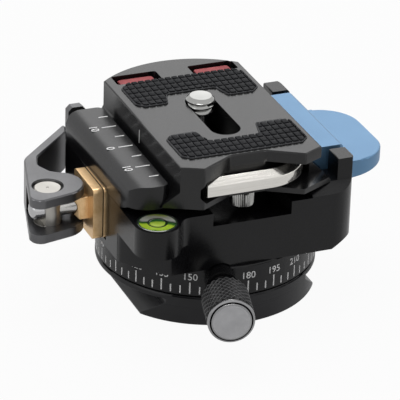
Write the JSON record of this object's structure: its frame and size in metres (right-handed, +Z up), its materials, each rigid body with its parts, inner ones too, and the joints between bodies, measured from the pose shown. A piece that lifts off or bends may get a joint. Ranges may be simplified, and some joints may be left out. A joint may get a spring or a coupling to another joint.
{
  "type": "panning clamp",
  "caption": "Round panning base with degree ring and brake knob, carrying a lever clamp with a release jaw, level and dovetail camera plate.",
  "frame": {"origin": "centre of the base disc's bottom face, on the panning axis, where the 3/8 inch thread opens", "axes": "+X across the channel from the cam lever to the blue release jaw, +Y along the channel towards the plate's rounded back, +Z up along the panning axis"},
  "size_m": [0.0791, 0.0715, 0.0395],
  "materials": {
    "base_black": "black anodised, fine satin turned finish",
    "ring_black": "black anodised, turned, with white engraved marks",
    "body_black": "black anodised, bead-blasted satin",
    "jaw_black": "black anodised, bead-blasted satin, white engraved marks",
    "plate_black": "dark anodised, bead-blasted satin that catches the light",
    "inner_alloy": "plain turned alloy",
    "jaw_blue": "blue anodised, bead-blasted satin",
    "lever_grey": "titanium grey anodised satin",
    "knob_grey": "dark grey anodised with a diamond knurl",
    "cap_grey": "light grey anodised, turned face",
    "brass": "machined bronze-brass",
    "bright_steel": "ground stainless steel",
    "bolt_steel": "stainless steel",
    "spring_steel": "spring wire",
    "key_steel": "nickel plated hex bar, slightly warm",
    "chrome": "polished plated steel",
    "magnet": "nickel plated magnet",
    "slip_plastic": "slippery white plastic",
    "cup_black": "black cup of the round level",
    "level_glass": "clear acrylic over yellow-green fluid with a bubble",
    "pad_rubber": "black rubber with small square studs",
    "red_rubber": "dusty red rubber"
  },
  "bodies": {
    "base": {"base_disc": "base_black", "thread_insert": "bolt_steel", "pan_hub": "inner_alloy", "base_screws": "bolt_steel", "lower_slip_ring": "slip_plastic", "upper_slip_ring": "slip_plastic"},
    "clamp": {"clamp_body": "body_black", "scale_ring": "ring_black", "ring_screws": "bolt_steel", "knob_boss": "body_black", "level_cup": "cup_black", "level_vial": "level_glass", "draw_bar": "bright_steel", "draw_nut": "chrome", "pivot_barrel": "bright_steel", "release_pin": "bright_steel", "release_spring": "spring_steel", "jaw_spring": "spring_steel"},
    "brake": {"brake_shoe": "brass"},
    "knob": {"knob_grip": "knob_grey", "knob_cap": "cap_grey", "knob_stud": "bolt_steel"},
    "lever": {"cam_lever": "lever_grey"},
    "jaw": {"sliding_jaw": "jaw_black", "pressure_plate": "brass"},
    "release": {"release_jaw": "jaw_blue"},
    "plate": {"quick_plate": "plate_black", "front_pad": "pad_rubber", "back_pad": "pad_rubber", "left_red_pad": "red_rubber", "right_red_pad": "red_rubber", "stop_screws": "bolt_steel", "key_magnet": "magnet"},
    "screw_slider": {"screw_washer": "slip_plastic"},
    "screw": {"camera_screw": "chrome"},
    "key": {"hex_key": "key_steel"}
  },
  "joints": [
    {"name": "pan", "type": "hinge", "parent": "base", "child": "clamp", "pos_m": [0, 0, 0.0112], "axis": [0, 0, 1], "continuous": true},
    {"name": "brake_slide", "type": "slide", "parent": "clamp", "child": "brake", "axis": [0.2588, 0.9659, 0], "range_m": [0, 0.000525]},
    {"name": "knob_turn", "type": "hinge", "parent": "brake", "child": "knob", "pos_m": [-0.00906, -0.03381, 0.0112], "axis": [0.2588, 0.9659, 0], "range_deg": [0, 270]},
    {"name": "lever_turn", "type": "hinge", "parent": "clamp", "child": "lever", "pos_m": [-0.0363, 0, 0.0216], "axis": [0, 0, 1], "range_deg": [0, 80]},
    {"name": "jaw_slide", "type": "slide", "parent": "clamp", "child": "jaw", "axis": [-1, 0, 0], "range_m": [0, 0.0014]},
    {"name": "release_tip", "type": "hinge", "parent": "clamp", "child": "release", "pos_m": [0.0228, 0, 0.0245], "axis": [0, 1, 0], "range_deg": [0, 20], "stiffness_Nm_per_rad": 0.02, "springref_deg": -57.3},
    {"name": "plate_slide", "type": "slide", "parent": "clamp", "child": "plate", "axis": [0, 1, 0], "range_m": [-0.0065, 0.0055]},
    {"name": "screw_slide", "type": "slide", "parent": "plate", "child": "screw_slider", "axis": [0, 1, 0], "range_m": [-0.0136, 0]},
    {"name": "screw_turn", "type": "hinge", "parent": "screw_slider", "child": "screw", "pos_m": [0.0005, 0.0063, 0.03], "axis": [0, 0, 1], "continuous": true},
    {"name": "key_slide", "type": "slide", "parent": "plate", "child": "key", "axis": [0, -1, 0], "range_m": [0, 0.016]}
  ],
  "couplings": [
    {"joint": "knob_turn", "follows": "brake_slide", "rad_per_m": 8975.9},
    {"joint": "jaw_slide", "follows": "lever_turn", "m_per_rad": 0.0010027}
  ]
}
